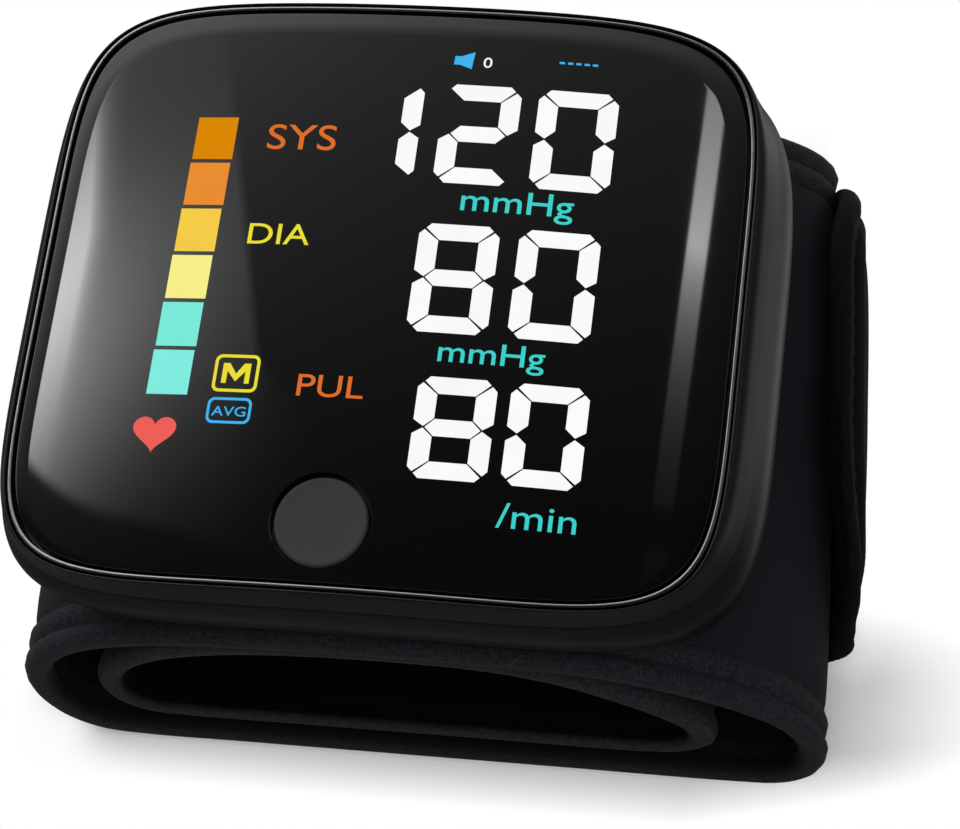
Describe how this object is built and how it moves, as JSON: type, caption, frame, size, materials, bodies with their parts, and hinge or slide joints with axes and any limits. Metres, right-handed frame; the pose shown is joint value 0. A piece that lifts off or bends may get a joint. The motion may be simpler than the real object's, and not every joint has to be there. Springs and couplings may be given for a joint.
{
  "type": "wrist blood pressure monitor",
  "caption": "Wrist blood pressure monitor with an arched glossy display, a start button, an air pump system and a padded loop cuff with a peel-off tail.",
  "frame": {"origin": "on the surface that the cuff lies on, under the middle of the part's box", "axes": "+X to the right of the display, +Y to the top of the display, +Z out of the display"},
  "size_m": [0.0998, 0.0798, 0.0521],
  "materials": {
    "case_black": "satin black moulded plastic",
    "lens_black": "gloss smoked window",
    "trim_silver": "bright plated trim",
    "button_grey": "matte dark grey",
    "seal_rubber": "black soft rubber",
    "board_green": "solder mask green",
    "white_plastic": "white moulded plastic",
    "dark_plastic": "dark moulded plastic",
    "film_dark": "dark printed film",
    "plunger_red": "red switch stem",
    "steel": "plain steel",
    "cell_jacket": "plain cell jacket",
    "hose_clear": "milky silicone",
    "strap_fabric": "black woven fabric with charcoal hems",
    "liner_fabric": "black soft lining",
    "bladder_grey": "grey film bladder",
    "hook_black": "black hook fabric"
  },
  "bodies": {
    "monitor": {"front_case": "case_black", "rear_case": "case_black", "trim_ring": "trim_silver", "display_lens": "lens_black", "lens_seal": "seal_rubber", "switch_body": "dark_plastic", "main_board": "board_green", "light_box": "white_plastic", "display_film": "film_dark", "controller_chip": "dark_plastic", "power_coil": "dark_plastic", "battery_cell_1": "cell_jacket", "battery_cell_2": "cell_jacket", "battery_tray": "dark_plastic", "contact_link": "steel", "contact_spring_1": "steel", "contact_spring_2": "steel", "pump_motor": "steel", "pump_head": "dark_plastic", "pump_pad": "seal_rubber", "air_manifold": "white_plastic", "pressure_sensor": "dark_plastic", "valve_body": "steel", "pump_hose": "hose_clear", "cuff_hose": "hose_clear", "air_port": "dark_plastic", "speaker": "dark_plastic", "speaker_ring": "seal_rubber", "case_screw_1": "steel", "case_screw_2": "steel", "case_screw_3": "steel", "case_screw_4": "steel", "cuff_plate": "dark_plastic", "cuff_long_side": "strap_fabric", "cuff_short_side": "strap_fabric", "cuff_inner_loop": "liner_fabric", "air_bladder": "bladder_grey"},
    "start_button": {"start_button": "button_grey", "switch_plunger": "plunger_red"},
    "battery_door": {"battery_door": "case_black"},
    "pump_crank": {"pump_crank": "white_plastic"},
    "valve_plunger": {"valve_plunger": "steel"},
    "cuff_tail": {"cuff_tail": "strap_fabric", "hook_patch": "hook_black"}
  },
  "joints": [
    {"name": "start_button_press", "type": "slide", "parent": "monitor", "child": "start_button", "axis": [0, 0, -1], "range_m": [0, 0.0006], "stiffness_N_per_m": 1500},
    {"name": "battery_door_off", "type": "slide", "parent": "monitor", "child": "battery_door", "axis": [-1, 0, 0], "range_m": [0, 0.015]},
    {"name": "pump_crank_spin", "type": "hinge", "parent": "monitor", "child": "pump_crank", "pos_m": [0.02675, -0.00095, 0.0376], "axis": [0, 1, 0], "continuous": true},
    {"name": "valve_plunger_lift", "type": "slide", "parent": "monitor", "child": "valve_plunger", "axis": [0, 1, 0], "range_m": [0, 0.0012], "stiffness_N_per_m": 300},
    {"name": "cuff_tail_peel", "type": "hinge", "parent": "monitor", "child": "cuff_tail", "pos_m": [0.04565, 0, 0.0054], "axis": [-0.0586, 0.9983, 0], "range_deg": [0, 80]}
  ]
}
